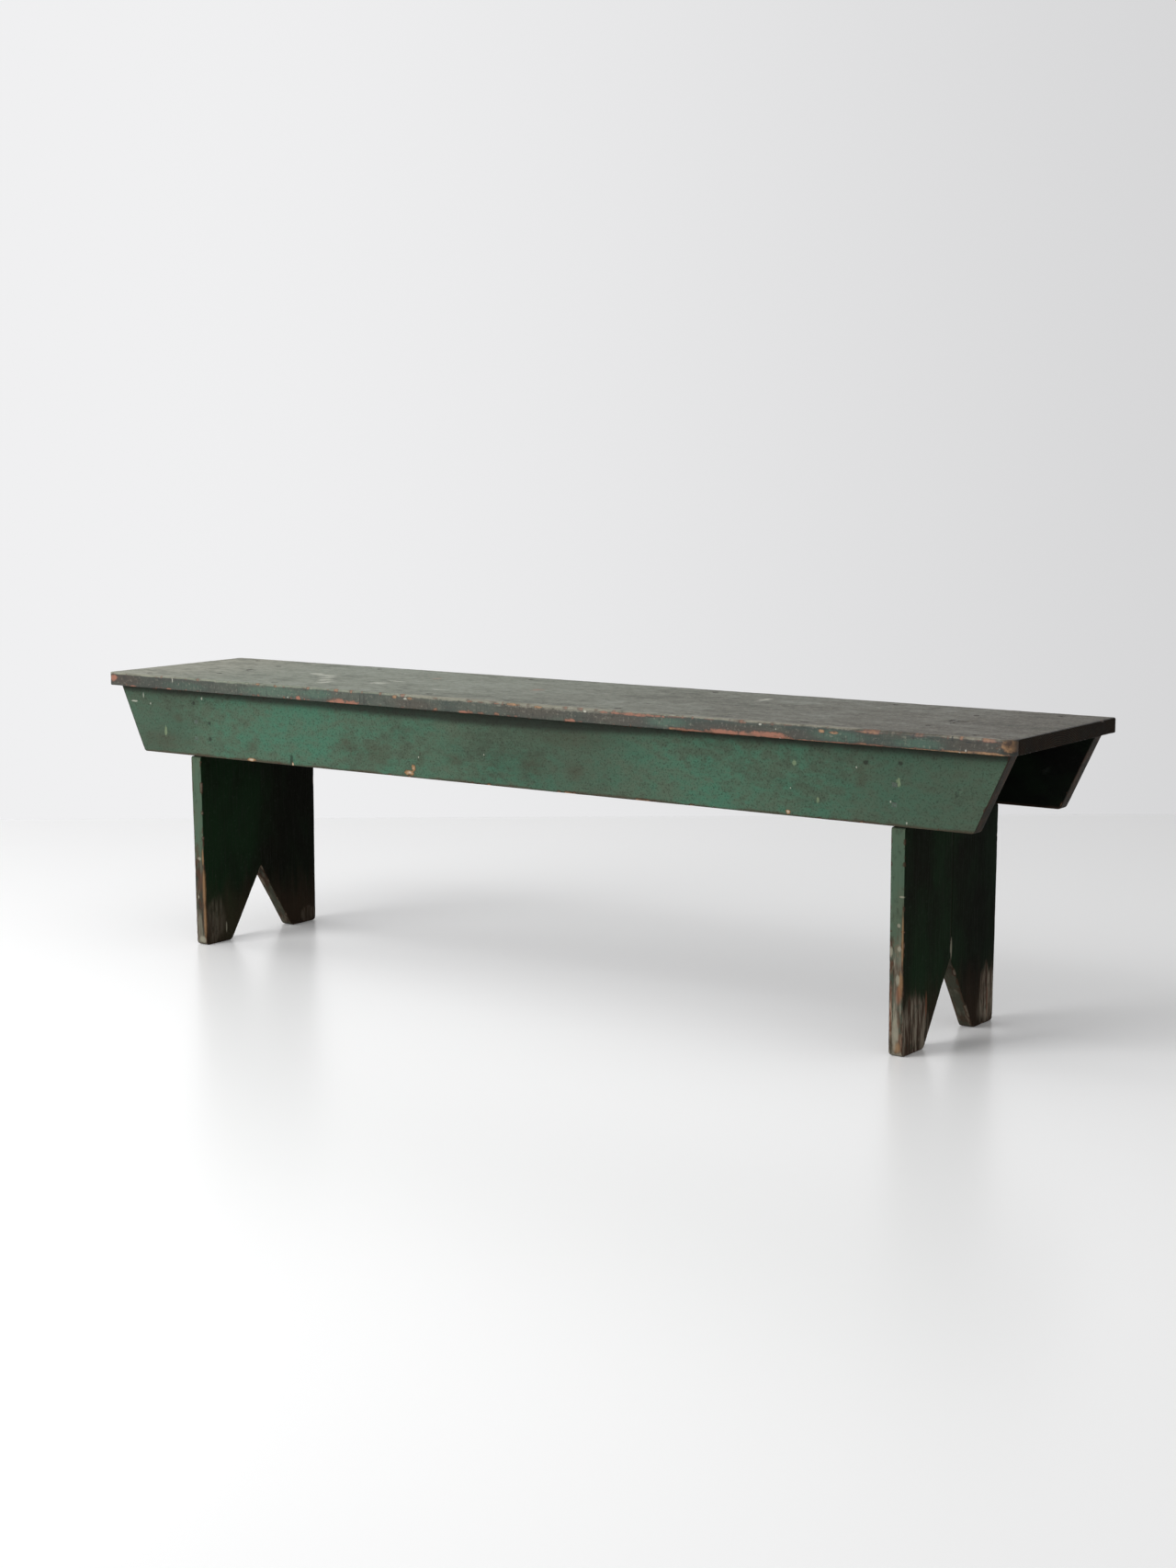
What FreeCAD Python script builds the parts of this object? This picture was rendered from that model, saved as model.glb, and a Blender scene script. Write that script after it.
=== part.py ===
import FreeCAD, Part
import math
import os

# Farmhouse bench: a single wide seat board, nailed down on two long aprons and two board legs.
# The aprons have raked ends and are let into the shoulders of the legs.
# Each leg is one wide board with a V sawn out of its foot, so that it stands on two feet.
#
# The origin is on the floor, below the middle of the seat.
# +X runs along the seat, +Y to the back and +Z up. All sizes are in millimetres.

# Seat board
seat_height = 450.0
seat_length = 1660.0
seat_width = 322.0
seat_thickness = 22.0
seat_corner_radius = 9.0
seat_top_arris_radius = 3.0
seat_under_arris_radius = 1.5

# Aprons, front and back
apron_height = 109.0
apron_thickness = 22.0
apron_face_setback = 18.0
apron_end_setback = 12.0
apron_end_rake = 51.0
apron_corner_radius = 6.0
apron_arris_radius = 1.2

# Legs, left and right
leg_thickness = 22.0
leg_end_inset = 166.0
leg_edge_setback = 3.0
leg_edge_taper = 3.0
leg_shoulder_gap = 1.2
leg_shoulder_radius = 4.0
leg_toe_radius = 7.0
leg_heel_radius = 10.0
leg_arris_radius = 1.5

# The V that makes two feet of each leg
foot_width = 62.0
notch_height = 114.0

# Cut nails: two sides taper to the point, and the other two are parallel
nail_length = 52.0
nail_shank_width = 5.0
nail_shank_thickness = 3.2
nail_point_width = 2.0
nail_head_length = 8.0
nail_head_width = 6.0
nail_head_thickness = 1.6
nail_set_depth = 0.4

# Where the nails are driven, as shares of the piece that they hold
seat_row_shares = (-0.93, -0.59, -0.20, 0.23, 0.61, 0.93)
leg_row_shares = (-0.6, 0.0, 0.6)
apron_nail_height_shares = (0.27, 0.52)
nail_stagger_share = 0.25

# Levels and faces that the pieces share
seat_underside = seat_height - seat_thickness
apron_underside = seat_underside - apron_height
apron_face = seat_width / 2 - apron_face_setback
apron_back_face = apron_face - apron_thickness
apron_half_top = seat_length / 2 - apron_end_setback
apron_half_bottom = apron_half_top - apron_end_rake
leg_outer_face = seat_length / 2 - leg_end_inset
leg_middle = leg_outer_face - leg_thickness / 2
leg_shoulder_height = apron_underside - leg_shoulder_gap
leg_half_shoulder = apron_face - leg_edge_setback
leg_half_foot = leg_half_shoulder - leg_edge_taper
notch_half_width = leg_half_foot - foot_width
nail_stagger = leg_thickness * nail_stagger_share

x_way = FreeCAD.Vector(1, 0, 0)
y_way = FreeCAD.Vector(0, 1, 0)
z_way = FreeCAD.Vector(0, 0, 1)
quarter_turn = 90.0
same_level = 1e-6


def rounded_corner(before, corner, after, radius):
    """Return the two ends and the middle of the arc that rounds one corner of an outline."""
    way_in = (before - corner).normalize()
    way_out = (after - corner).normalize()
    half_angle = way_in.getAngle(way_out) / 2
    run = radius / math.tan(half_angle)
    to_centre = (way_in + way_out).normalize()
    middle = corner + to_centre * (radius / math.sin(half_angle) - radius)
    return corner + way_in * run, middle, corner + way_out * run


def outline_face(corners):
    """Make a face from corners, each a point and the radius that it is rounded to."""
    points = [point for point, radius in corners]
    starts = []
    ends = []
    arcs = []
    for index, (corner, radius) in enumerate(corners):
        start, end = corner, corner
        if radius > 0:
            before = points[index - 1]
            after = points[(index + 1) % len(points)]
            start, middle, end = rounded_corner(before, corner, after, radius)
            arcs.append(Part.Arc(start, middle, end).toShape())
        starts.append(start)
        ends.append(end)
    runs = []
    for index, end in enumerate(ends):
        next_start = starts[(index + 1) % len(starts)]
        runs.append(Part.LineSegment(end, next_start).toShape())
    edges = Part.sortEdges(runs + arcs)[0]
    return Part.Face(Part.Wire(edges))


def edges_at(board, way, level):
    """List the edges of the flat face that lies square to way at level."""
    for face in board.Faces:
        if not isinstance(face.Surface, Part.Plane):
            continue
        is_square = face.Surface.Axis.cross(way).Length < same_level
        if is_square and abs(face.CenterOfMass.dot(way) - level) < same_level:
            return face.Edges
    raise ValueError("the board has no flat face at this level")


def seat_board():
    """The seat: one board with its corners rounded in plan and its arrises worn round."""
    half_length = seat_length / 2
    half_width = seat_width / 2
    corners = []
    for x_side, y_side in ((-1, -1), (1, -1), (1, 1), (-1, 1)):
        place = FreeCAD.Vector(x_side * half_length, y_side * half_width, seat_underside)
        corners.append((place, seat_corner_radius))
    board = outline_face(corners).extrude(z_way * seat_thickness)
    board = board.makeFillet(seat_top_arris_radius, edges_at(board, z_way, seat_height))
    return board.makeFillet(seat_under_arris_radius, edges_at(board, z_way, seat_underside))


def apron(y_side):
    """A long board on edge, raked at both ends, with its outer face towards y_side."""
    inner_face = y_side * apron_back_face
    corners = [
        (FreeCAD.Vector(-apron_half_top, inner_face, seat_underside), 0),
        (FreeCAD.Vector(-apron_half_bottom, inner_face, apron_underside), apron_corner_radius),
        (FreeCAD.Vector(apron_half_bottom, inner_face, apron_underside), apron_corner_radius),
        (FreeCAD.Vector(apron_half_top, inner_face, seat_underside), 0),
    ]
    board = outline_face(corners).extrude(y_way * (y_side * apron_thickness))

    worn_edges = []
    for edge in edges_at(board, y_way, y_side * apron_face):
        if edge.CenterOfMass.z < seat_underside - same_level:
            worn_edges.append(edge)
    return board.makeFillet(apron_arris_radius, worn_edges)


def leg(x_side):
    """A board on end: a neck between the aprons, shoulders below them, and a V between two feet."""
    inner_face = x_side * (leg_outer_face - leg_thickness)
    half_outline = [
        (0, notch_height, 0),
        (notch_half_width, 0, leg_heel_radius),
        (leg_half_foot, 0, leg_toe_radius),
        (leg_half_shoulder, leg_shoulder_height, leg_shoulder_radius),
        (apron_back_face, leg_shoulder_height, 0),
        (apron_back_face, seat_underside, 0),
    ]
    corners = []
    for y, z, radius in half_outline:
        corners.append((FreeCAD.Vector(inner_face, y, z), radius))
    for y, z, radius in reversed(half_outline[1:]):
        corners.append((FreeCAD.Vector(inner_face, -y, z), radius))
    board = outline_face(corners).extrude(x_way * (x_side * leg_thickness))

    worn_edges = []
    for level in (inner_face, x_side * leg_outer_face):
        for edge in edges_at(board, x_way, level):
            is_outer = abs(edge.CenterOfMass.y) > leg_half_foot - leg_toe_radius
            if is_outer and edge.CenterOfMass.z < leg_shoulder_height:
                worn_edges.append(edge)
    return board.makeFillet(leg_arris_radius, worn_edges)


def cut_nail():
    """A cut nail that hangs from the origin: its head's top is at zero and its point is down."""
    head_half = nail_head_length / 2
    shank_half = nail_shank_width / 2
    point_half = nail_point_width / 2
    side_shares = ((-1, 0), (1, 0), (1, -1), (-1, -1))
    shank_points = [
        FreeCAD.Vector(-shank_half, -nail_shank_thickness / 2, 0),
        FreeCAD.Vector(shank_half, -nail_shank_thickness / 2, 0),
        FreeCAD.Vector(point_half, -nail_shank_thickness / 2, -nail_length),
        FreeCAD.Vector(-point_half, -nail_shank_thickness / 2, -nail_length),
    ]
    head_points = []
    for x_share, z_share in side_shares:
        x = x_share * head_half
        head_points.append(FreeCAD.Vector(x, -nail_head_width / 2, z_share * nail_head_thickness))
    shank = Part.Face(Part.makePolygon(shank_points + shank_points[:1]))
    head = Part.Face(Part.makePolygon(head_points + head_points[:1]))
    shank = shank.extrude(y_way * nail_shank_thickness)
    head = head.extrude(y_way * nail_head_width)
    return head.fuse(shank).removeSplitter()


def driven(place, turn):
    """A cut nail turned and moved to the place of its head's top."""
    nail = cut_nail()
    nail.Placement = FreeCAD.Placement(place, turn)
    return nail


def seat_row(y_side):
    """The nails through the seat into one apron, along the middle of the apron's top edge."""
    middle = y_side * (apron_face + apron_back_face) / 2
    nails = []
    for share in seat_row_shares:
        place = FreeCAD.Vector(share * apron_half_top, middle, seat_height - nail_set_depth)
        nails.append(driven(place, FreeCAD.Rotation()))
    return nails


def leg_row(x_side):
    """The nails through the seat into the neck of one leg."""
    x = x_side * (leg_middle + nail_stagger)
    nails = []
    for share in leg_row_shares:
        place = FreeCAD.Vector(x, share * apron_back_face, seat_height - nail_set_depth)
        nails.append(driven(place, FreeCAD.Rotation(z_way, quarter_turn)))
    return nails


def apron_pair(x_side, y_side):
    """The nails through one apron into the neck of one leg, one above the other."""
    head_level = y_side * (apron_face - nail_set_depth)
    turn = FreeCAD.Rotation(z_way, y_way * y_side)
    nails = []
    for share in apron_nail_height_shares:
        height = apron_underside + share * apron_height
        place = FreeCAD.Vector(x_side * (leg_middle - nail_stagger), head_level, height)
        nails.append(driven(place, turn))
    return nails


def nail_recess(nail, way):
    """What a nail takes out of the wood: itself, and the dent above its sunk head."""
    head_top = max(nail.Faces, key=lambda face: face.CenterOfMass.dot(way))
    return nail.fuse(head_top.extrude(way * nail_set_depth)).removeSplitter()


def write(name, solids):
    """Write one sub-part, a single solid or a group of like solids."""
    shape = solids[0] if len(solids) == 1 else Part.makeCompound(solids)
    shape.exportStep("parts/" + name + ".step")


sides = {"left": -1, "right": 1}
faces = {"front": -1, "back": 1}

boards = {"seat_board": seat_board()}
nail_groups = {}
nail_ways = {}
for face_name, y_side in faces.items():
    boards[face_name + "_apron"] = apron(y_side)
    nail_groups["seat_nails_" + face_name] = seat_row(y_side)
    nail_ways["seat_nails_" + face_name] = z_way
for side_name, x_side in sides.items():
    boards[side_name + "_leg"] = leg(x_side)
    nail_groups["seat_nails_" + side_name + "_leg"] = leg_row(x_side)
    nail_ways["seat_nails_" + side_name + "_leg"] = z_way
    for face_name, y_side in faces.items():
        name = face_name + "_apron_nails_" + side_name
        nail_groups[name] = apron_pair(x_side, y_side)
        nail_ways[name] = y_way * y_side

# Each nail has made its own tapered hole in every board that it goes through.
for name, nails in nail_groups.items():
    for nail in nails:
        hole = nail_recess(nail, nail_ways[name])
        for board_name, board in boards.items():
            if board.BoundBox.intersect(hole.BoundBox):
                boards[board_name] = board.cut(hole)

os.makedirs("parts", exist_ok=True)
for name, board in boards.items():
    write(name, [board.Solids[0]])
for name, nails in nail_groups.items():
    write(name, [nail.Solids[0] for nail in nails])
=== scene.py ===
import math
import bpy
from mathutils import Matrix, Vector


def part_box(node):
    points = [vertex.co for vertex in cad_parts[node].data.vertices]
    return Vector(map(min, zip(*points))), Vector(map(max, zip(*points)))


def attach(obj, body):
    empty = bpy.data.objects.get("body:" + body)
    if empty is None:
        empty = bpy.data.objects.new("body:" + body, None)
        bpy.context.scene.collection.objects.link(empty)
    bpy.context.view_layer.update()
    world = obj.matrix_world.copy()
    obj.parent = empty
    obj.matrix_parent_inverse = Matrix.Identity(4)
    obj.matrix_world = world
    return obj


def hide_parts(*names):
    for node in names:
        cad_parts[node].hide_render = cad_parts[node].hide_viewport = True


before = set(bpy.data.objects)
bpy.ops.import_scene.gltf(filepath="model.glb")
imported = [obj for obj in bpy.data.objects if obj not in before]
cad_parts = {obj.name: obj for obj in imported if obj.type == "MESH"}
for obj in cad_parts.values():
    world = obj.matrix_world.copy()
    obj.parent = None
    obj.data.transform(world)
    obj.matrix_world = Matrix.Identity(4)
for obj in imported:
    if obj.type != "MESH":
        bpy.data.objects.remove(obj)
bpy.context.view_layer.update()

from types import SimpleNamespace

import bmesh
import bpy
import numpy as np
from mathutils import Matrix

# The looks of a painted farmhouse bench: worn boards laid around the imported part, their paint,
# and a pale studio. Lengths are in metres and the frame is the part's own.

bl_info = {
    "name": "Painted farmhouse bench",
    "version": (1, 0, 0),
    "blender": (4, 5, 0),
    "location": "View3D > Sidebar > Bench",
    "description": "Builds the worn boards, the paint and the studio of a plank bench",
    "category": "Add Mesh",
}

MM = 0.001

# Boxes of the boards, read from the frame
SEAT_LOW, SEAT_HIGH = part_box("seat_board")
APRON_LOW, APRON_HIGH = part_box("front_apron")
LEG_LOW, LEG_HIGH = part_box("right_leg")

# Cuts that the boxes don't give: how far an apron's ends slope in on the way down, the gap from
# the aprons to the legs' shoulders, how much a leg narrows on each side, and the cuts of its foot
APRON_RAKE = 51 * MM
SHOULDER_GAP = 1.2 * MM
LEG_TAPER = 3 * MM
FOOT_WIDTH = 62 * MM
NOTCH_HEIGHT = 114 * MM

# Width of the band round the seat that wears the paint of its edge
EDGE_BAND = 24 * MM

# The photograph's camera, fitted to the edges of the boards. Its angles are in radians.
IMAGE_WIDTH = 1280
IMAGE_HEIGHT = 1706
FOCAL_PIXELS = 2720.5
CENTRE_PIXEL = (592.3, 921.0)
CAMERA_PLACE = (2.2382, -3.0980, 0.8502)
CAMERA_TURN = 0.6345
CAMERA_TILT = -0.1659
CAMERA_ROLL = -0.0044
SENSOR_WIDTH = 36.0


def linear(hex_colour):
    """Turn an sRGB hex colour into linear red, green and blue."""
    values = np.array([int(hex_colour[i:i + 2], 16) for i in (1, 3, 5)]) / 255.0
    low = values / 12.92
    high = ((values + 0.055) / 1.055) ** 2.4
    return tuple(float(v) for v in np.where(values <= 0.04045, low, high))


def colour_property(name, description, hex_colour):
    """A colour that a user can change, with its default as a hex value."""
    return bpy.props.FloatVectorProperty(
        name=name, description=description, subtype="COLOR", size=3, min=0.0, max=1.0,
        default=linear(hex_colour))


def length_property(name, description, default):
    """A length that a user can change."""
    return bpy.props.FloatProperty(
        name=name, description=description, default=default, min=0.0, unit="LENGTH", precision=4)


class BenchSizes(bpy.types.PropertyGroup):
    """How far the boards are worn."""

    seat_arris: length_property("Seat arris", "Radius that the seat's top arris is worn to", 2.6 * MM)
    under_arris: length_property("Under arris", "Radius of the seat's lower arris", 1.5 * MM)
    board_arris: length_property("Board arris", "Radius of the arrises of aprons and legs", 1.2 * MM)
    chip_depth: length_property("Chip depth", "How far the chips cut into an arris", 2.4 * MM)
    wave_depth: length_property("Wave depth", "How far the planed faces rise and fall", 0.35 * MM)
    seat_corner: length_property("Seat corner", "Radius of the seat's corners in plan", 9.0 * MM)
    worn_corner: length_property("Worn corner", "Radius of the seat corner that is worn most", 20.0 * MM)
    crisp_corner: length_property("Crisp corner", "Radius of the seat corner that is worn least", 4.0 * MM)
    apron_corner: length_property("Apron corner", "Radius of the aprons' lower corners", 6.0 * MM)
    shoulder_corner: length_property("Shoulder corner", "Radius of the legs' shoulders", 4.0 * MM)
    toe_corner: length_property("Toe corner", "Radius of the outer toes of the feet", 7.0 * MM)
    heel_corner: length_property("Heel corner", "Radius where the notch meets the floor", 10.0 * MM)
    split_depth: length_property("Split depth", "Depth of the split up the right leg", 1.6 * MM)
    dent_radius: length_property("Dent radius", "Radius of the dent round a nail", 6.0 * MM)
    dent_depth: length_property("Dent depth", "Depth of the dent round a nail", 1.0 * MM)
    step: length_property("Step", "Spacing of the vertices along a board's outline", 2.4 * MM)


class BenchColours(bpy.types.PropertyGroup):
    """The paints, the wood below them and the iron of the nails."""

    green: colour_property("Green", "Top coat of green milk paint", "#405a49")
    teal: colour_property("Teal", "Where the green has kept its strength", "#3a614e")
    moss: colour_property("Moss", "Where the green has turned brown", "#4a5344")
    cloud: colour_property("Cloud", "Dark clouds that hands and soot have left", "#2e382e")
    edge_green: colour_property("Edge green", "Green of the legs' narrow edges, faded", "#455647")
    rubbed_green: colour_property("Rubbed green", "Green of the seat's edge, dulled by legs", "#222e26")
    edge_grey: colour_property("Edge grey", "Edges where hands have greyed the paint", "#3b4137")
    seat_grey: colour_property("Seat grey", "Green of the seat, rubbed grey", "#666d5e")
    # Also painted shade towards the seat's right end
    seat_brown: colour_property("Seat brown", "Seat where the dirt has browned it", "#383226")
    # Dark paint, darkened further with painted shade: the broad faces stand under the seat, turned from the
    # light
    leg_dark: colour_property("Leg dark", "Green of the legs' broad faces, nearly black", "#0e210f")
    leg_brown: colour_property("Leg brown", "Brown of the legs' broad faces", "#0f1009")
    # Painted shade: nearly black for faces deep in shade, the aprons' inner faces and the backs of the
    # legs' broad faces
    soot: colour_property("Soot", "Faces that no hand and no light reach", "#040503")
    undercoat: colour_property("Undercoat", "Orange-red first coat", "#8c5a45")
    wood: colour_property("Wood", "Bare pine, weathered", "#92704e")
    grey_wood: colour_property("Grey wood", "Bare pine, washed and scuffed grey", "#7d7466")
    dark_wood: colour_property("Dark wood", "Bare wood with dirt in it", "#3a2b21")
    # Also the painted shadow of the seat's overhang on the aprons
    grime_and_shade: colour_property("Grime", "Dirt and soot in the paint", "#1e1f1a")
    end_grain: colour_property("End grain", "Sawn ends, soaked with dirt", "#15120e")
    # Also painted highlight: the seat's front top arris and its left end
    dust_and_sheen: colour_property("Dust", "Pale dust rubbed into the arrises", "#8a8676")
    chalk: colour_property("Chalk", "Flecks of white", "#c9c8ba")
    lichen: colour_property("Lichen", "Flecks of pale green", "#85936f")
    iron: colour_property("Iron", "Nail heads", "#15120f")


class BenchStage(bpy.types.PropertyGroup):
    """The studio."""

    floor: colour_property("Floor", "Gloss paint of the floor", "#f3f3f3")
    wall_left: colour_property("Wall left", "Matt paint of the wall where the light is", "#f0f0f1")
    wall_right: colour_property("Wall right", "Matt paint of the wall away from the light", "#d3d3d4")
    horizon: colour_property("Horizon", "What is seen past the floor and the wall", "#ececec")
    key_watts: bpy.props.FloatProperty(
        name="Key", description="Power of the large lamp on the left", default=90.0, unit="POWER")
    top_watts: bpy.props.FloatProperty(
        name="Top", description="Power of the large lamp overhead", default=30.0, unit="POWER")
    side_watts: bpy.props.FloatProperty(
        name="Side", description="Power of the low lamp far to the left", default=100.0, unit="POWER")
    fill_strength: bpy.props.FloatProperty(
        name="Fill", description="Strength of the light from all sides", default=0.5)
    wall_distance: length_property("Wall distance", "From the bench's middle to the wall", 1.65)


# Noise and outlines

def noise(points, cell, seed):
    """Smooth noise from -1 to 1.

    Random values sit on a lattice of the cell's size, and the eight round a point are blended
    by the smoothed place of the point between them.
    """
    table = np.random.default_rng(seed).uniform(-1.0, 1.0, 8192)
    scaled = points / cell
    base = np.floor(scaled).astype(np.int64)
    part = scaled - base
    smooth = part * part * (3.0 - 2.0 * part)
    total = np.zeros(points.shape[:-1])
    for corner in range(8):
        offset = np.array([corner & 1, (corner >> 1) & 1, corner >> 2])
        key = (base + offset) @ np.array([73856093, 19349663, 83492791])
        weight = np.where(offset == 1, smooth, 1.0 - smooth).prod(axis=-1)
        total += weight * table[key % len(table)]
    return total


def layered_noise(points, cell, seed, layers=3):
    """Noise with finer and weaker layers added, each at half the cell and half the height."""
    total = 0.0
    for layer in range(layers):
        total = total + noise(points, cell / 2 ** layer, seed + layer) / 2 ** layer
    return total


def smoothstep(low, high, values):
    """Rise smoothly from 0 at low to 1 at high."""
    share = np.clip((values - low) / (high - low), 0.0, 1.0)
    return share * share * (3.0 - 2.0 * share)


def corner_arc(before, place, after, radius, step):
    """Points of the arc that rounds a corner: a circle tangent to both runs that meet there."""
    if radius == 0:
        return place[None, :]
    back = (before - place) / np.linalg.norm(before - place)
    on = (after - place) / np.linalg.norm(after - place)
    half = math.acos(float(back @ on)) / 2
    centre = place + (back + on) / np.linalg.norm(back + on) * radius / math.sin(half)
    start = place + back * radius / math.tan(half) - centre
    sweep = math.pi - 2 * half
    turn = math.copysign(1.0, float(back[1] * on[0] - back[0] * on[1]))
    pieces = max(4, math.ceil(radius * sweep / (step / 3)))
    angles = turn * np.linspace(0.0, sweep, pieces + 1)
    cos, sin = np.cos(angles), np.sin(angles)
    return centre + np.stack([cos * start[0] - sin * start[1], sin * start[0] + cos * start[1]], axis=1)


def outline_points(corners, step):
    """Points along a closed outline of straight runs and tangent arcs, and each one's inward normal.

    The outline starts at a corner on its axis of symmetry, and a run and its mirror get the same
    number of points.
    """
    places = [np.array(corner[:2]) for corner in corners]
    count = len(corners)
    arcs = [corner_arc(places[i - 1], places[i], places[(i + 1) % count], corners[i][2], step)
            for i in range(count)]
    lengths = [np.linalg.norm(arcs[(i + 1) % count][0] - arcs[i][-1]) for i in range(count)]
    stretches = []
    for i in range(count):
        pieces = max(1, math.ceil(max(lengths[i], lengths[count - 1 - i]) / step))
        shares = np.linspace(0.0, 1.0, pieces + 1)[1:-1, None]
        start, end = arcs[i][-1], arcs[(i + 1) % count][0]
        stretches += [arcs[i], start + (end - start) * shares]
    points = np.concatenate(stretches)
    ahead = np.roll(points, -1, axis=0) - points
    ahead = ahead / np.linalg.norm(ahead, axis=1)[:, None]
    tangent = ahead + np.roll(ahead, 1, axis=0)
    tangent = tangent / np.linalg.norm(tangent, axis=1)[:, None]
    left = np.stack([-tangent[:, 1], tangent[:, 0]], axis=1)
    x, y = points[:, 0], points[:, 1]
    area = float((x * np.roll(y, -1) - np.roll(x, -1) * y).sum())
    return points, left * math.copysign(1.0, area)


def arris_wear(line, base, chip, thickness, seed):
    """How rubbed an arris is along its line, and its radius there.

    The radius follows a slow noise about its base, and grows by the chip's depth where a finer
    noise is high. The slow wear changes every 90 mm, rubbed places every 13 and chips every 7.
    """
    slow = layered_noise(line, 90 * MM, seed)
    fine = layered_noise(line, 13 * MM, seed + 7)
    rubbed = smoothstep(0.25, 0.95, fine + 0.55 * slow)
    sharp = smoothstep(0.75, 1.0, layered_noise(line, 7 * MM, seed + 13))
    radius = base * (1.0 + 0.4 * slow) + chip * (0.4 * rubbed + 0.6 * sharp)
    return np.maximum(rubbed, sharp), np.clip(radius, 0.35 * base, 0.4 * thickness)


def board_surface(name, corners, axes, level, thickness, spine, wear):
    """A closed worn board, made by carrying its section round its outline.

    One parameter runs along the outline, the other over the section: out over the upper face
    from the spine, round the upper arris as a quarter circle, down the edge, round the lower
    arris and back to the spine. The faces rise and fall with a slow noise and a fine ripple.
    """
    outline, inward = outline_points(corners, wear["step"])
    mirror = (-np.arange(len(outline))) % len(outline)
    middle = spine((outline + outline[mirror]) / 2, outline)
    u_axis, v_axis, w_axis = (np.array(axis, float) for axis in axes)
    chip, seed = wear["chip"], wear["seed"]

    def lift(flat, height):
        return flat[..., :1] * u_axis + flat[..., 1:] * v_axis + height[..., None] * w_axis

    bottom = np.full(len(outline), level)
    top = bottom + thickness
    rub_top, round_top = arris_wear(lift(outline, top), wear["upper"], chip, thickness, seed)
    rub_low, round_low = arris_wear(lift(outline, bottom), wear["lower"], chip, thickness, seed + 1)
    still = np.zeros(len(outline))
    face_shares = 1.0 - (1.0 - np.linspace(0.0, 1.0, wear["face_rows"])[:-1]) ** 1.8
    if wear["split"]:
        # Two rows close to the spine keep the split narrow
        face_shares = np.concatenate([[0.0, 0.012, 0.03], face_shares[1:]])
    bends = np.linspace(0.0, math.pi / 2, wear["arris_rows"])

    # Each row is a loop round the board: its plan, its height, how far its normal leans from the
    # edge's, and how far it lies from the arris
    def face(radius, height, way):
        rim = outline + inward * radius[:, None]
        return [(middle + (rim - middle) * share, height, still + way * math.pi / 2,
                 np.linalg.norm((rim - middle) * (1.0 - share), axis=1)) for share in face_shares]

    def arris(radius, height, way):
        return [(outline + inward * (radius * (1.0 - math.sin(bend)))[:, None],
                 height - way * radius * (1.0 - math.cos(bend)),
                 still + way * (math.pi / 2 - bend), still) for bend in bends]

    edge_top, edge_low = top - round_top, bottom + round_low
    edge = [(outline, edge_top + (edge_low - edge_top) * share, still,
             min(share, 1.0 - share) * (edge_top - edge_low))
            for share in np.linspace(0.0, 1.0, wear["edge_rows"] + 2)[1:-1]]
    rows = face(round_top, top, 1) + arris(round_top, top, 1) + edge
    rows += arris(round_low, bottom, -1)[::-1] + face(round_low, bottom, -1)[::-1]
    flats, heights, leans, depths = (np.stack(column) for column in zip(*rows))

    points = lift(flats, heights)
    outward = lift(np.broadcast_to(-inward, flats.shape), np.zeros(heights.shape))
    normal = np.cos(leans)[..., None] * outward + np.sin(leans)[..., None] * w_axis
    # Both noises are lowered by the most that they can rise, so that a board only loses wood
    wave = layered_noise(points, 160 * MM, seed + 20, 2) - 1.5
    ripple = noise(points, 9 * MM, seed + 30) - 1.0
    points = points + normal * (wear["wave"] * (0.4 * wave + 0.25 * ripple))[..., None]
    # The first row lies on the spine of the upper face, and sinks to make the split
    points[0] -= w_axis * wear["split"]
    rubbed = np.where(leans > 0, rub_top, np.where(leans < 0, rub_low, np.maximum(rub_top, rub_low)))
    wear_reach = 2.6 * MM
    near = np.exp(-depths / wear_reach) * (0.4 + 0.6 * rubbed)
    return closed_mesh(name, points, near)


def put_in_scene(name, data):
    """Make an object of a mesh, a lamp or a camera and put it in the scene."""
    item = bpy.data.objects.new(name, data)
    bpy.context.scene.collection.objects.link(item)
    return item


def closed_mesh(name, grid, near):
    """Join a grid of points, closed along its rows, into a mesh and weld its first and last rows."""
    rows, columns = grid.shape[:2]
    index = np.arange(rows * columns).reshape(rows, columns)
    across = np.roll(index, -1, axis=1)
    faces = np.stack([index[:-1], index[1:], across[1:], across[:-1]], axis=-1).reshape(-1, 4)
    mesh = bpy.data.meshes.new(name)
    mesh.from_pydata(grid.reshape(-1, 3).tolist(), [], faces.tolist())
    layer = mesh.attributes.new("arris", "FLOAT", "POINT")
    layer.data.foreach_set("value", near.reshape(-1).astype(np.float32))
    work = bmesh.new()
    work.from_mesh(mesh)
    bmesh.ops.remove_doubles(work, verts=work.verts, dist=1e-6)
    bmesh.ops.dissolve_degenerate(work, edges=work.edges, dist=1e-7)
    bmesh.ops.recalc_face_normals(work, faces=work.faces)
    work.to_mesh(mesh)
    work.free()
    mesh.shade_smooth()
    return put_in_scene(name, mesh)


def places_of(items, field):
    """The places of all vertices or faces of a mesh, one to a row."""
    places = np.empty(len(items) * 3)
    items.foreach_get(field, places)
    return places.reshape(-1, 3)


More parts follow.
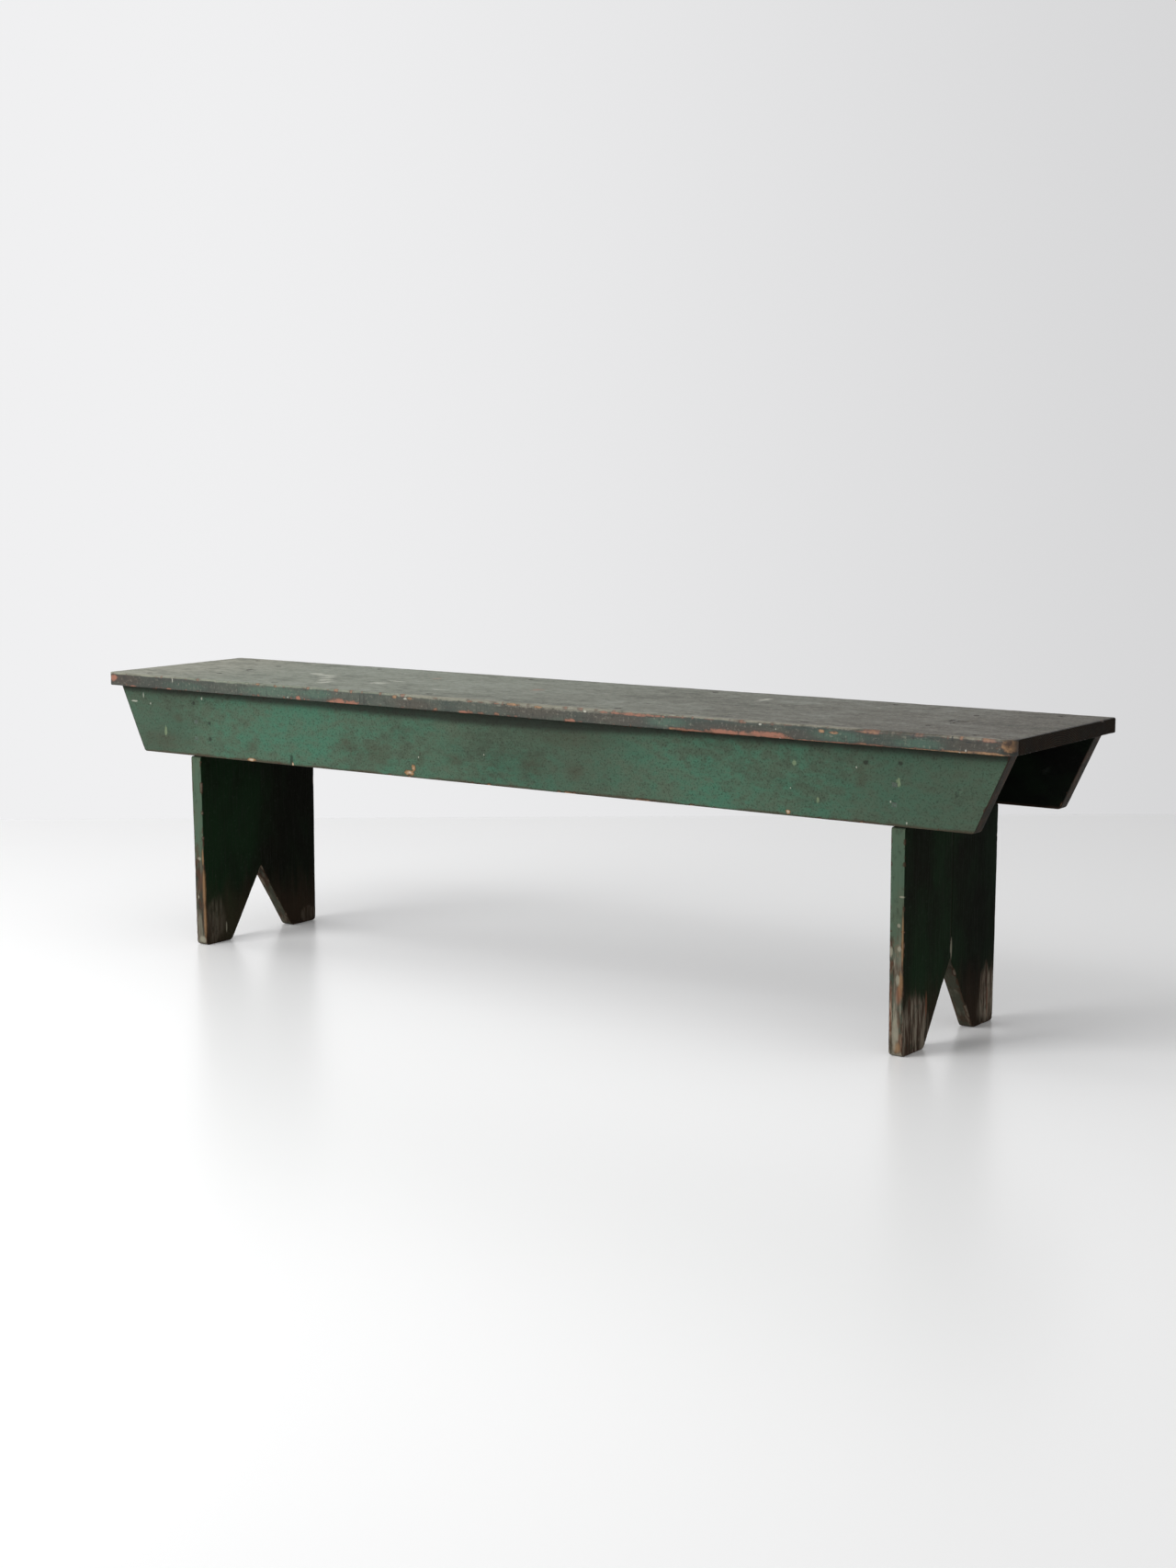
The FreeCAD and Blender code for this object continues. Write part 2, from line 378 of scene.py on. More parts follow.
def nail_heads(prefix, axis, way):
    """Centres of the outer faces of the heads of all nails whose nodes' names start with a prefix.

    The heads point way along an axis. The outermost points of a node are gathered round the
    knots of a grid, a nail to a group, and a centre is the middle of its group's box.
    """
    flatness, knot_spacing, reach = 0.1 * MM, 10 * MM, 14 * MM
    spread = [i for i in range(3) if i != axis]
    centres = []
    for name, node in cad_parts.items():
        if not name.startswith(prefix):
            continue
        points = places_of(node.data.vertices, "co")
        outer = points[points[:, axis] * way > (points[:, axis] * way).max() - flatness]
        taken = np.zeros(len(outer), bool)
        for knot in np.unique(np.round(outer[:, spread] / knot_spacing).astype(int), axis=0):
            close = np.linalg.norm(outer[:, spread] - knot * knot_spacing, axis=1) < reach
            group = outer[close & ~taken]
            taken |= close
            if len(group):
                centres.append((group.min(axis=0) + group.max(axis=0)) / 2)
    return np.array(centres)


def sink_nails(piece, places, axis, way, sizes):
    """Dent a board round its nails.

    The faces out to 4 mm past each dent are cut finer, and a point there sinks by the dent's
    depth times (1 - (distance / radius) squared) squared.
    """
    mesh = piece.data
    spread = [i for i in range(3) if i != axis]
    face_level = (places[:, axis] * way).max() - 2 * MM

    def distances(points):
        flat = np.linalg.norm(points[:, None, spread] - places[None, :, spread], axis=2).min(axis=1)
        return np.where(points[:, axis] * way > face_level, flat, 1.0)

    near = np.flatnonzero(distances(places_of(mesh.polygons, "center")) < sizes.dent_radius + 4 * MM)
    work = bmesh.new()
    work.from_mesh(mesh)
    work.faces.ensure_lookup_table()
    edges = list({edge for i in near for edge in work.faces[i].edges})
    bmesh.ops.subdivide_edges(work, edges=edges, cuts=3, use_grid_fill=True)
    bmesh.ops.triangulate(work, faces=[face for face in work.faces if len(face.verts) > 4])
    work.to_mesh(mesh)
    work.free()
    points = places_of(mesh.vertices, "co")
    share = np.clip(distances(points) / sizes.dent_radius, 0.0, 1.0)
    dent = (1.0 - share ** 2) ** 2
    points[:, axis] -= way * sizes.dent_depth * dent
    mesh.vertices.foreach_set("co", points.reshape(-1))
    layer = mesh.attributes.new("nail", "FLOAT", "POINT")
    layer.data.foreach_set("value", dent.astype(np.float32))
    mesh.update()


def dress(piece, node, material):
    """Let a piece stand for its CAD node and give it its material."""
    piece.data.materials.append(material)
    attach(piece, "root")
    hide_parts(node)


# Materials

# Old milk paint and pine bend light by about as little
PAINT_IOR = 1.45


def add_node(tree, kind, settings=None, links=None):
    """Add a node, set its fields and sockets, and link sockets of other nodes to its inputs."""
    node = tree.nodes.new(kind)
    for key, value in (settings or {}).items():
        if isinstance(key, int) or key in node.inputs:
            node.inputs[key].default_value = value
        else:
            setattr(node, key, value)
    for key, socket in (links or {}).items():
        tree.links.new(socket, node.inputs[key])
    return node


def new_material(name):
    """A material with an empty tree, its shader and its output."""
    material = bpy.data.materials.new(name)
    material.use_nodes = True
    tree = material.node_tree
    tree.nodes.clear()
    shader = add_node(tree, "ShaderNodeBsdfPrincipled")
    add_node(tree, "ShaderNodeOutputMaterial", links={"Surface": shader.outputs[0]})
    return material, tree, shader


def brushed(tree, place, size, draw=(1.0, 1.0, 1.0), seed=0.0, detail=3.0, roughness=0.55):
    """A noise whose spots are about size across, drawn out along each axis by a factor.

    At a scale of 1 the texture's spots are about half a metre across.
    """
    spread = {"Location": (seed * 1.37, seed * 0.71, seed * 2.13), "Scale": tuple(1.0 / d for d in draw)}
    moved = add_node(tree, "ShaderNodeMapping", spread, {"Vector": place})
    grain = {"Scale": 0.5 / size, "Detail": detail, "Roughness": roughness}
    return add_node(tree, "ShaderNodeTexNoise", grain, {"Vector": moved.outputs[0]}).outputs["Fac"]


def mixed_masks(tree, *parts):
    """Add masks up, each times its weight."""
    total = None
    for socket, weight in parts:
        settings = {"operation": "MULTIPLY_ADD", 1: weight, 2: 0.0}
        links = {0: socket} if total is None else {0: socket, 2: total}
        total = add_node(tree, "ShaderNodeMath", settings, links).outputs[0]
    return total


def distance(tree, place, middle=0.0):
    """How far a place lies from a middle, on either side of it."""
    past = add_node(tree, "ShaderNodeMath", {"operation": "SUBTRACT", 1: middle}, {0: place})
    return add_node(tree, "ShaderNodeMath", {"operation": "ABSOLUTE"}, {0: past.outputs[0]}).outputs[0]


def coat(tree, below, colour, mask, low, high, most=1.0):
    """Lay a coat over what is below: none where the mask is under low, and the most over high."""
    bounds = {"From Min": low, "From Max": high, "To Min": 0.0, "To Max": most}
    bounds["interpolation_type"] = "SMOOTHSTEP"
    share = add_node(tree, "ShaderNodeMapRange", bounds, {"Value": mask}).outputs[0]
    mix = add_node(tree, "ShaderNodeMix", {"data_type": "RGBA"}, {0: share})
    for index, value in ((6, below), (7, colour)):
        if isinstance(value, bpy.types.NodeSocket):
            tree.links.new(value, mix.inputs[index])
        else:
            mix.inputs[index].default_value = (*value, 1.0)
    return mix.outputs[2]


def coats(tree, below, *rows):
    """Lay coats one over another. A row is a colour, its mask, low, high and the most."""
    for row in rows:
        below = coat(tree, below, *row)
    return below


def marks(tree, place, ragged, spots):
    """Distance from a table of spots, 1 at the rim of each, with a ragged noise added.

    A spot is its centre and its half sizes along the three axes, in millimetres. The noise adds
    0.75 on average, and 1.5 where it is two noises in one, so a rim lies near 1.75 or 2.5.
    """
    nearest = None
    for spot in spots:
        centre = [value * MM for value in spot[:3]]
        half_sizes = [value * MM for value in spot[3:]]
        settings = {"vector_type": "TEXTURE", "Location": centre, "Scale": half_sizes}
        moved = add_node(tree, "ShaderNodeMapping", settings, {"Vector": place})
        reach = add_node(tree, "ShaderNodeVectorMath", {"operation": "LENGTH"}, {0: moved.outputs[0]})
        if nearest is None:
            nearest = reach.outputs["Value"]
        else:
            links = {0: nearest, 1: reach.outputs["Value"]}
            nearest = add_node(tree, "ShaderNodeMath", {"operation": "MINIMUM"}, links).outputs[0]
    return mixed_masks(tree, (nearest, 1.0), (ragged, 1.5))


def painted(name, grain, seed):
    """Start a painted board's material: its place, its noises and the wear of its arrises.

    The noises are fine streaks along the grain, fine lines across it, clouds a hand wide, patches
    a thumb wide, chips as large as a fingernail, specks as large as a crumb, and grit. Grit is
    0.3 mm in old milk paint and saw lines lie 0.6 mm apart, too fine to show, so they are drawn
    1.5 and 1.2 mm wide.
    """
    material, tree, shader = new_material(name)
    shader.inputs["IOR"].default_value = PAINT_IOR
    place = add_node(tree, "ShaderNodeTexCoord").outputs["Object"]
    along, half_along, across = [1.0] * 3, [1.0] * 3, [8.0] * 3
    along[grain], half_along[grain], across[grain] = 12.0, 1.7, 1.0
    apart = add_node(tree, "ShaderNodeSeparateXYZ", links={0: place})
    parts = SimpleNamespace(
        place=place, x=apart.outputs[0], y=apart.outputs[1], z=apart.outputs[2],
        streaks=brushed(tree, place, 1.6 * MM, along, seed, 3.0, 0.6),
        wide_streaks=brushed(tree, place, 6 * MM, along, seed + 1, 3.0),
        clouds=brushed(tree, place, 60 * MM, half_along, seed + 2, 4.0, 0.6),
        patches=brushed(tree, place, 15 * MM, half_along, seed + 3, 4.0, 0.6),
        chips=brushed(tree, place, 5 * MM, half_along, seed + 5, 4.0, 0.65),
        specks=brushed(tree, place, 2.5 * MM, (1.0, 1.0, 1.0), seed + 4, 3.0, 0.6),
        grit=brushed(tree, place, 1.5 * MM, (1.0, 1.0, 1.0), seed + 6, 2.0, 0.7),
        saw_lines=brushed(tree, place, 1.2 * MM, across, seed + 7, 2.0, 0.6),
        arris=add_node(tree, "ShaderNodeAttribute", {"attribute_name": "arris"}).outputs["Fac"],
        nail=add_node(tree, "ShaderNodeAttribute", {"attribute_name": "nail"}).outputs["Fac"])
    return material, tree, shader, parts


def finish_shader(tree, shader, colour, gloss_mask, smooth, rough, sheen, heights, depth):
    """Give the shader its colour, a roughness from smooth to rough by a mask, sheen and relief."""
    bounds = {"From Min": 0.3, "From Max": 0.7, "To Min": smooth, "To Max": rough}
    roughness = add_node(tree, "ShaderNodeMapRange", bounds, {"Value": gloss_mask}).outputs[0]
    relief = mixed_masks(tree, *heights)
    bump = add_node(tree, "ShaderNodeBump", {"Strength": 1.0, "Distance": depth}, {"Height": relief})
    tree.links.new(colour, shader.inputs["Base Color"])
    tree.links.new(roughness, shader.inputs["Roughness"])
    tree.links.new(bump.outputs[0], shader.inputs["Normal"])
    shader.inputs["Specular IOR Level"].default_value = sheen


def on_face(level, depth, *spots):
    """Spots on an upright face at a level: each is its place along and up, and its half sizes."""
    return [(along, level, up, half_along, depth, half_up) for along, up, half_along, half_up in spots]


# Places of the wear that the photograph shows, in millimetres. What isn't on_face is a spot's
# centre and its half sizes along x, y and z.
SEAT_FRONT, SEAT_BACK = -161, 161
SEAT_ORANGE = on_face(
    SEAT_FRONT, 6,
    (-322, 430, 20, 5), (-296, 430, 15, 4), (-405, 431, 5, 3.5), (-72, 429, 12, 3), (335, 428, 32, 3),
    (388, 430, 28, 5), (432, 430, 24, 5), (468, 431, 24, 5), (124, 430, 9, 3), (560, 428, 120, 1.5),
    (-772, 429, 9, 1.3), (-690, 429, 7, 1.2),
) + on_face(SEAT_BACK, 6, (-250, 431, 26, 4), (110, 447, 34, 2.6), (520, 430, 16, 4)) + [
    (-818, -159, 441, 8, 8, 6), (240, -160, 446, 56, 4, 2.2),
]
SEAT_SPOTS = [(-60, 8, 450, 9, 14, 4), (-300, 60, 450, 5, 12, 4)]
SEAT_BARE = on_face(
    SEAT_FRONT, 6,
    (700, 427.5, 40, 2), (748, 428, 26, 2.4), (510, 427, 4, 2), (530, 427, 4, 2.4), (551, 427, 10, 2),
    (544, 443, 4.5, 2.6), (563, 442, 6, 1.8), (-207, 445, 4, 2.4), (-177, 444, 5, 1.8), (-491, 448, 4, 1.6),
    (-453, 447, 3, 1.4), (19, 447, 12, 1.8), (66, 446, 8, 1.6),
) + on_face(SEAT_FRONT, 8, (790, 429, 30, 3)) + on_face(SEAT_BACK, 6, (330, 446, 9, 2)) + [
    (820, -152, 440, 14, 12, 8), (826, -152, 444, 8, 10, 5), (-824, 154, 440, 9, 10, 7),
]
SEAT_WHITE = on_face(
    SEAT_FRONT, 6,
    (150, 445, 3, 2), (447, 446, 3, 1.6), (472, 441, 1, 1.2), (479, 428, 1.2, 2), (761, 432, 1.6, 2),
    (752, 428, 2, 1.6), (-427, 431, 1.3, 1.4), (-186, 443, 4, 1.6),
) + on_face(SEAT_FRONT, 5, (-681, 444, 1.2, 5))
# Pale bands on the front top arris: dust, and a painted highlight where the top's sheen runs over the arris
SEAT_DUST_AND_SHEEN = [
    (-60, -156, 449, 60, 12, 3), (100, -160, 449, 190, 9, 6), (-110, -159, 449, 100, 9, 4.5),
    (400, -159, 450, 140, 9, 2.5), (560, -158, 450, 60, 10, 2), (770, -158, 449, 46, 10, 3),
]
SEAT_TEAL = on_face(
    SEAT_FRONT, 6,
    (-464, 438, 56, 8), (-370, 440, 30, 6), (-655, 436, 40, 6), (292, 438, 30, 6), (570, 438, 36, 6),
    (690, 436, 34, 6))
SEAT_BROWN = on_face(
    SEAT_FRONT, 6,
    (60, 440, 60, 10), (200, 438, 50, 10), (-176, 436, 40, 9), (430, 434, 90, 8), (770, 438, 40, 10),
    (-790, 440, 30, 9))
SEAT_SCUFFS = [
    (-514, 9, 450, 22, 12, 5), (-484, -2, 450, 20, 14, 5), (-458, -28, 450, 15, 18, 5),
    (-436, -58, 450, 15, 18, 5), (-412, -88, 450, 14, 18, 5), (-331, -50, 450, 18, 16, 5),
    (-330, -11, 450, 24, 5, 5), (-192, -75, 450, 14, 6, 4), (306, 84, 450, 9, 26, 4),
]
SEAT_CUTS = on_face(SEAT_FRONT, 6, (741, 446, 1.4, 4), (-269, 437, 0.8, 9), (-277, 437, 0.7, 7))
SEAT_CUTS += on_face(SEAT_FRONT, 5, (684, 446, 1.4, 4), (765, 443, 4, 1.2))
APRON_FRONT, APRON_BACK = -143, 143
APRON_TEAL = on_face(APRON_FRONT, 30, (-400, 375, 190, 70), (420, 365, 170, 60), (-30, 335, 90, 30))
APRON_DULL = on_face(APRON_FRONT, 30, (-740, 375, 70, 70), (690, 375, 110, 70), (60, 380, 130, 60))
APRON_WHITE = on_face(
    APRON_FRONT, 6,
    (-751, 400, 1.5, 2.4), (-49, 365, 1, 1.4), (486, 358, 1.1, 1.5), (-176, 352, 1.5, 1.6),
    (-767, 414, 1.1, 5), (642, 352, 1.3, 1.8), (589, 395, 1.4, 1.8), (667, 325, 1.4, 2.2),
    (-633, 415, 2, 2.6), (-788, 402, 9, 1.6),
) + on_face(APRON_BACK, 6, (-120, 372, 1.4, 2), (470, 351, 1.2, 1.8))
APRON_LICHEN = on_face(
    APRON_FRONT, 6,
    (491, 394, 3, 4), (653, 379, 4, 6), (-717, 355, 2.5, 9), (530, 345, 3, 4),
) + on_face(APRON_BACK, 6, (-560, 385, 3, 5))
APRON_BARE = on_face(
    APRON_FRONT, 6,
    (-194, 327, 9, 4), (-186, 334, 5, 5), (-525, 322, 9, 2.5), (-435, 322, 1.6, 3.4), (483, 325, 3.2, 2.6),
) + on_face(APRON_BACK, 6, (250, 323, 9, 3), (-310, 321, 6, 2.6))
APRON_STAINS = on_face(
    APRON_FRONT, 6,
    (-172, 350, 7, 9), (-107, 353, 12, 8), (-525, 343, 12, 8), (-688, 380, 9, 6), (43, 358, 18, 12),
    (122, 354, 16, 14), (-262, 350, 26, 16), (-321, 362, 18, 12), (596, 382, 8, 14), (120, 400, 60, 14),
    (-720, 340, 50, 16),
) + on_face(APRON_BACK, 6, (380, 365, 30, 16), (-450, 345, 24, 14))
APRON_DARK = on_face(
    APRON_FRONT, 6,
    (-438, 328, 4, 9), (-617, 375, 3.4, 3.4), (-616, 349, 3.4, 3.4), (603, 403, 4, 3), (656, 405, 4, 3),
    (-651, 406, 3, 3))
LEG_FRONT = -139
LEG_FACE = 664
LEG_PALE = on_face(
    LEG_FRONT, 6,
    (656, 183, 2.5, 3), (645, 146, 2.5, 8), (657, 151, 3, 4), (655, 108, 3, 8), (660, 223, 4, 1.4),
    (651, 34, 4, 26), (-653, 146, 4, 3), (-657, 81, 1.6, 3), (-650, 9, 8, 6),
) + [(LEG_FACE, 2, 127, 5, 2.2, 14), (-642, -88, 24, 4, 1.6, 10)]
LEG_TAN = on_face(LEG_FRONT, 5, (-644, 96, 4, 34), (-643, 40, 4.5, 40), (655, 12, 6, 10))
LEG_TAN += on_face(LEG_FRONT, 4, (660, 100, 4, 22), (-645, 148, 2, 16))
LEG_TAN += on_face(LEG_FRONT, 3, (662, 160, 1.6, 40))
LEG_ORANGE = [
    (657, LEG_FRONT, 86, 4, 5, 12), (645, LEG_FRONT, 58, 2, 4, 36), (LEG_FACE, 118, 30, 5, 2, 24),
    (LEG_FACE, -70, 60, 4, 3, 16), (646, -72, 20, 6, 4, 12), (646, 40, 80, 8, 5, 14),
]
FOOT_STREAKS = [
    (LEG_FACE, -112, 34, 6, 26, 38), (LEG_FACE, -86, 36, 6, 16, 30), (LEG_FACE, -104, 14, 6, 34, 20),
    (LEG_FACE, 117, 40, 6, 19, 34), (642, -104, 30, 6, 30, 30), (642, 104, 24, 6, 30, 26),
    (-664, -104, 22, 6, 30, 24), (-664, 104, 28, 6, 30, 30),
]
FAINT_STREAKS = [(-642, -116, 38, 6, 22, 34), (-642, 118, 14, 6, 20, 12), (LEG_FACE, 98, 24, 6, 12, 18)]
LEG_SPLIT = [(LEG_FACE, 0, 275, 6, 1.3, 160)]


def seat_coats(name, colours, teal=(), brown=()):
    """Milk paint on pine, brushed and then sat on: dull grey-green, darker towards the right end.

    The top, the edge and the bare underside are told apart by their height. The tables say where
    the edge has kept its teal and where it has turned brown.
    """
    # Milk paint dries matt, and years of sitting polish it: the eye sees a cloudy, uneven gloss
    material, tree, shader, parts = painted(name, 0, 3)
    place = parts.place
    mottle = mixed_masks(tree, (parts.clouds, 0.4), (parts.patches, 0.4), (parts.chips, 0.2))
    # Browner and darker towards the right end: dirt, and painted shade
    browner_and_shaded = mixed_masks(tree, (mottle, 1.0), (parts.x, 0.45))
    # Painted highlight: the top is painted paler towards the left end, where the light falls
    left_highlight = mixed_masks(tree, (parts.x, 1.0), (mottle, 0.3))
    top = coats(
        tree, colours.seat_grey,
        (colours.seat_brown, browner_and_shaded, 0.22, 0.94),
        (colours.dust_and_sheen, left_highlight, -0.36, -0.66, 0.5),
        (colours.cloud, mottle, 0.5, 0.62, 0.5),
        (colours.grime_and_shade, parts.chips, 0.52, 0.7, 0.5),
        (colours.dust_and_sheen, parts.specks, 0.5, 0.7, 0.5),
        (colours.grime_and_shade, parts.streaks, 0.52, 0.75, 0.4))
    blotches = mixed_masks(tree, (parts.patches, 0.6), (parts.chips, 0.4), (parts.x, -0.1))
    edge = coat(tree, colours.rubbed_green, colours.edge_grey, blotches, 0.4, 0.58)
    if teal:
        edge = coat(tree, edge, colours.teal, marks(tree, place, parts.patches, teal), 2.3, 1.3, 0.4)
    darkened = mixed_masks(tree, (parts.x, 1.0), (parts.patches, 0.2))
    edge = coat(tree, edge, colours.grime_and_shade, darkened, -0.35, -0.62, 0.54)
    if brown:
        edge = coat(tree, edge, colours.dark_wood, marks(tree, place, parts.patches, brown), 2.4, 1.2, 0.5)
    edge = coats(
        tree, edge,
        (colours.grime_and_shade, parts.chips, 0.52, 0.7, 0.6),
        (colours.grime_and_shade, parts.saw_lines, 0.5, 0.75, 0.6),
        (colours.dust_and_sheen, parts.specks, 0.54, 0.72, 0.25))
    under = coat(tree, colours.dark_wood, colours.grime_and_shade, parts.wide_streaks, 0.4, 0.6)
    arris_height = mixed_masks(tree, (parts.z, 1.0), (parts.patches, 6 * MM))
    colour = coats(
        tree, top,
        (edge, arris_height, SEAT_HIGH.z + 1 * MM, SEAT_HIGH.z - 1.5 * MM),
        (under, parts.z, SEAT_LOW.z + 1 * MM, SEAT_LOW.z))
    parts.polish = mixed_masks(tree, (mottle, 0.7), (parts.chips, 0.3))
    parts.ragged = mixed_masks(tree, (parts.chips, 1.2), (parts.specks, 0.8))
    return material, tree, shader, parts, colour


def seat_finish(tree, shader, parts, colour, colours):
    """Dirty the dents round the nails and give the seat its dull polish."""
    sunk = mixed_masks(tree, (parts.nail, 1.0), (parts.specks, 0.4))
    colour = coat(tree, colour, colours.grime_and_shade, sunk, 0.5, 0.85)
    heights = ((parts.streaks, 1.0), (parts.specks, 0.6), (parts.patches, 0.6), (parts.grit, 0.4))
    finish_shader(tree, shader, colour, parts.polish, 0.36, 0.72, 0.5, heights, 0.5 * MM)


def seat_top_paint(colours):
    """The seat's paint where people sit: scuffed pale here and there."""
    material, tree, shader, parts, colour = seat_coats("seat_milk_paint_rubbed", colours)
    frayed = mixed_masks(tree, (parts.ragged, 0.6), (parts.streaks, 0.5), (parts.chips, 0.5))
    scuffs = marks(tree, parts.place, frayed, SEAT_SCUFFS)
    spots = marks(tree, parts.place, parts.ragged, SEAT_SPOTS)
    colour = coats(
        tree, colour,
        (colours.chalk, scuffs, 2.8, 1.8, 0.45),
        (colours.undercoat, spots, 2.7, 2.2, 0.4))
    seat_finish(tree, shader, parts, colour, colours)
    return material


def seat_edge_paint(colours):
    """The seat's paint round its edges: chipped to the orange first coat and to bare wood.

    The renderer shows a material with many more marks than this one as black, so the top's marks
    are in a material of their own.
    """
    material, tree, shader, parts, colour = seat_coats(
        "seat_edge_milk_paint_chipped", colours, SEAT_TEAL, SEAT_BROWN)
    place, ragged = parts.place, parts.ragged
    # Dust, and a painted highlight, along the front top arris
    colour = coat(tree, colour, colours.dust_and_sheen, marks(tree, place, ragged, SEAT_DUST_AND_SHEEN), 2.6, 2.1, 0.45)
    worn = mixed_masks(tree, (parts.arris, 1.0), (parts.chips, 0.6), (parts.specks, 0.4))
    colour = coats(
        tree, colour,
        (colours.dark_wood, worn, 0.95, 1.25, 0.6),
        (colours.undercoat, worn, 1.2, 1.5, 0.4),
        (colours.wood, worn, 1.45, 1.6, 0.6))
    orange = marks(tree, place, ragged, SEAT_ORANGE)
    rubbed_orange = coat(tree, colours.undercoat, colours.edge_grey, parts.chips, 0.48, 0.64, 0.55)
    colour = coats(
        tree, colour,
        (colours.dark_wood, orange, 2.95, 2.45, 0.6),
        (rubbed_orange, orange, 2.65, 2.1, 0.85))
    bare = marks(tree, place, ragged, SEAT_BARE)
    dirty_wood = coat(tree, colours.dark_wood, colours.wood, parts.chips, 0.3, 0.58)
    round_corner = mixed_masks(tree, (parts.x, 1.0), (ragged, 3 * MM))
    colour = coats(
        tree, colour,
        (colours.dark_wood, bare, 3.0, 2.5, 0.75),
        (dirty_wood, bare, 2.7, 2.2, 0.9),
        (colours.end_grain, round_corner, SEAT_HIGH.x - 4 * MM, SEAT_HIGH.x + 2 * MM, 0.85))
    colour = coat(tree, colour, colours.chalk, marks(tree, place, parts.specks, SEAT_WHITE), 1.8, 1.3, 0.48)
    colour = coat(tree, colour, colours.grime_and_shade, marks(tree, place, parts.specks, SEAT_CUTS), 1.95, 1.7)
    seat_finish(tree, shader, parts, colour, colours)
    return material


def sawn_end(colours):
    """Sawn end grain of pine, soaked with dirt: nearly black, dull, with faint rings of growth."""
    # End grain drinks the light: the eye sees a dark end without gloss, and its rings only up close
    material, tree, shader = new_material("pine_end_grain_soaked")
    shader.inputs["IOR"].default_value = PAINT_IOR
    place = add_node(tree, "ShaderNodeTexCoord").outputs["Object"]
    specks = brushed(tree, place, 1.5 * MM)
    patches = brushed(tree, place, 14 * MM)
    # The tree's heart lay 90 mm below the board and 30 mm in front of its middle line
    centre = {"Location": (0.0, 30 * MM, 90 * MM - SEAT_LOW.z)}
    heart = add_node(tree, "ShaderNodeMapping", centre, {"Vector": place})
    # A ring of the texture is 0.314 m wide at a scale of 1, and a year's growth here is 3 mm
    rings = {"wave_type": "RINGS", "rings_direction": "X", "Scale": 0.314 / (3 * MM)}
    rings.update({"Distortion": 1.5, "Detail": 2.0})
    growth = add_node(tree, "ShaderNodeTexWave", rings, {"Vector": heart.outputs[0]}).outputs["Fac"]
    grain = mixed_masks(tree, (growth, 0.4), (patches, 0.6))
    colour = coats(
        tree, colours.end_grain,
        (colours.dark_wood, grain, 0.4, 0.9, 0.7),
        (colours.cloud, specks, 0.55, 0.75, 0.5))
    finish_shader(tree, shader, colour, patches, 0.8, 0.95, 0.1, ((growth, 0.6), (specks, 1.0)), 0.4 * MM)
    return material


